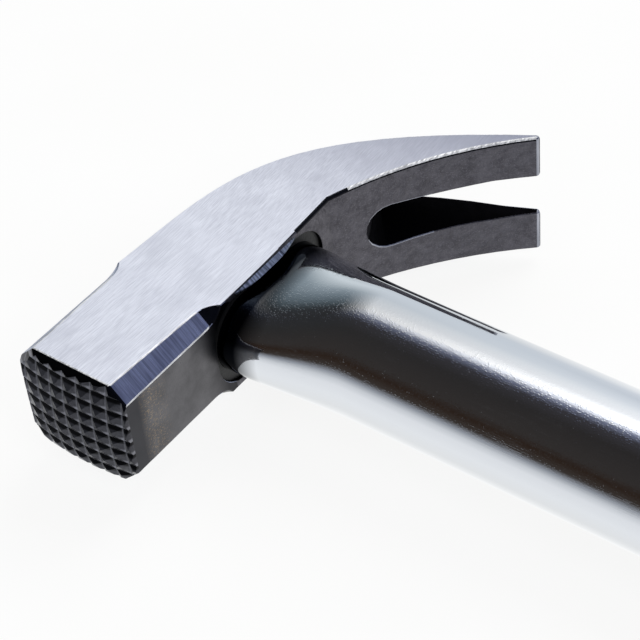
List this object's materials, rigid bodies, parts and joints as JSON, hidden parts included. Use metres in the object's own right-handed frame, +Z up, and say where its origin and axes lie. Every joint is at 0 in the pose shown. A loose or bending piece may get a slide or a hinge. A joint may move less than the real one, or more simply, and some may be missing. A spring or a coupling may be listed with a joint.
{
  "type": "claw hammer",
  "caption": "Crate hammer with a square waffle-faced head, a slotted claw, a chromed tube handle and a rubber grip.",
  "frame": {"origin": "middle of the hammer's footprint, on the ground it lies on, on its side", "axes": "+X along the handle towards the head, +Y towards the striking face, +Z up, square to the upper cheek"},
  "size_m": [0.32, 0.0944, 0.032],
  "materials": {
    "forged_steel": "forged, ground cheeks, oiled black edges",
    "chromed_steel": "bright chrome plate with fine rubbing marks",
    "hardwood": "sawn end grain",
    "wedge_steel": "plain mild steel, hammered over",
    "black_resin": "cast black resin",
    "moulded_nylon": "moulded nylon",
    "grip_rubber": "moulded rubber with fine grain"
  },
  "bodies": {
    "root": {"hammer_head": "forged_steel", "handle_tube": "chromed_steel", "core_plug": "hardwood", "steel_wedges": "wedge_steel", "eye_seam": "black_resin", "end_plug": "moulded_nylon", "grip": "grip_rubber"}
  },
  "joints": []
}
